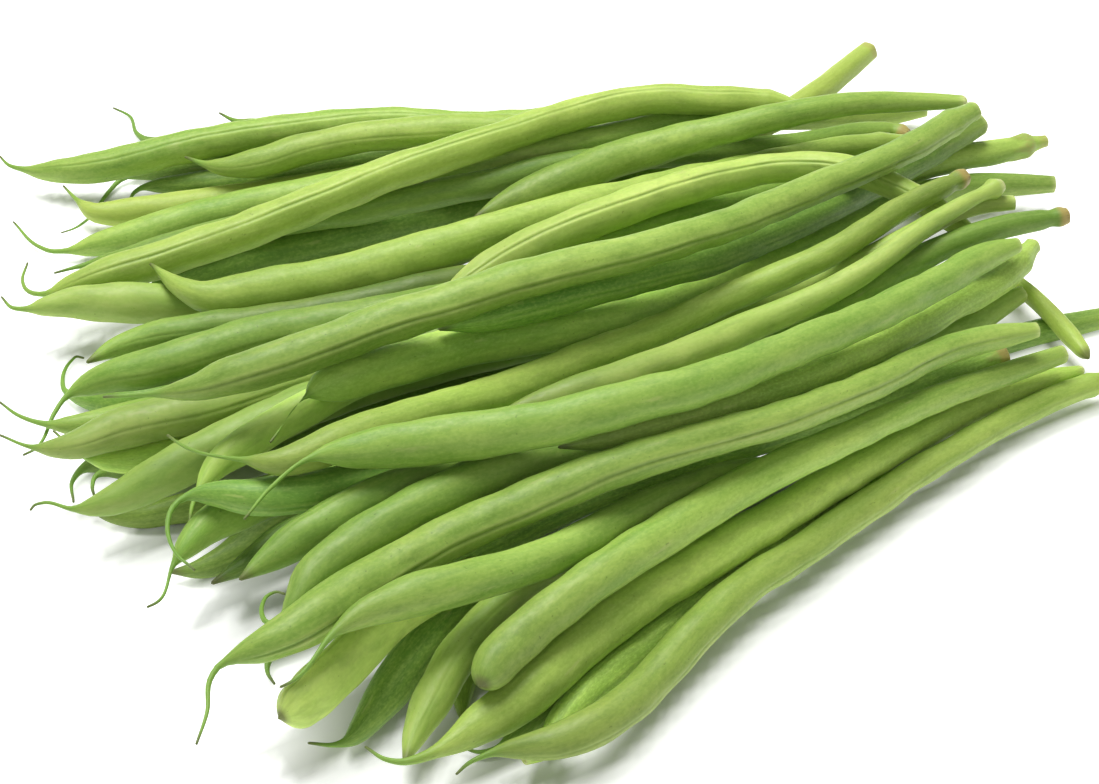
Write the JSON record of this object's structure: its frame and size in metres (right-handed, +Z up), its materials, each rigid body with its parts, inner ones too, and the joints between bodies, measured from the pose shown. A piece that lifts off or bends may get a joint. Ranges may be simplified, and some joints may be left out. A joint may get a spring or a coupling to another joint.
{
  "type": "green bean bundle",
  "caption": "Loose heap of whole fresh green beans, tails curled at one end and cut stems at the other, lying side by side on a flat surface.",
  "frame": {"origin": "centre of the heap's footprint, on the surface it lies on", "axes": "+X along the beans' common direction, from their tails to their stems; +Y across the heap, towards its low back edge; +Z up"},
  "size_m": [0.2244, 0.2164, 0.0427],
  "materials": {
    "skin_fresh": "satin mid-green bean skin, faintly mottled, paler along the upper side",
    "skin_light": "satin pale yellow-green bean skin",
    "skin_deep": "satin deep-green bean skin",
    "skin_olive": "satin olive-green bean skin"
  },
  "bodies": {
    "root": {"bean_base_01": "skin_deep", "bean_base_02": "skin_deep", "bean_base_03": "skin_deep", "bean_base_04": "skin_deep", "bean_base_05": "skin_deep", "bean_base_06": "skin_deep", "bean_base_07": "skin_deep", "bean_base_08": "skin_deep", "bean_back_01": "skin_deep", "bean_back_02": "skin_deep", "bean_back_03": "skin_deep", "bean_back_04": "skin_deep", "bean_back_05": "skin_fresh", "bean_back_06": "skin_fresh", "bean_back_07": "skin_fresh", "bean_back_08": "skin_fresh", "bean_middle_01": "skin_olive", "bean_top_01": "skin_fresh", "bean_top_02": "skin_fresh", "bean_left_01": "skin_light", "bean_top_03": "skin_fresh", "bean_left_02": "skin_deep", "bean_left_03": "skin_fresh", "bean_left_04": "skin_fresh", "bean_left_05": "skin_fresh", "bean_left_06": "skin_fresh", "bean_left_07": "skin_deep", "bean_left_08": "skin_light", "bean_left_09": "skin_light", "bean_left_10": "skin_light", "bean_end_01": "skin_fresh", "bean_end_02": "skin_fresh", "bean_middle_02": "skin_fresh", "bean_middle_03": "skin_deep", "bean_top_04": "skin_light", "bean_top_05": "skin_fresh", "bean_middle_04": "skin_light", "bean_left_11": "skin_deep", "bean_left_12": "skin_fresh", "bean_left_13": "skin_deep", "bean_left_14": "skin_deep", "bean_left_15": "skin_fresh", "bean_right_01": "skin_fresh", "bean_front_01": "skin_fresh", "bean_front_02": "skin_light", "bean_front_03": "skin_fresh", "bean_front_04": "skin_olive", "bean_front_05": "skin_fresh", "bean_front_06": "skin_deep", "bean_front_07": "skin_deep", "bean_front_08": "skin_deep", "bean_front_09": "skin_light", "bean_front_10": "skin_light", "bean_front_11": "skin_fresh", "bean_front_12": "skin_fresh", "bean_front_13": "skin_deep", "bean_front_14": "skin_fresh", "bean_front_15": "skin_fresh", "bean_front_16": "skin_fresh"}
  },
  "joints": []
}
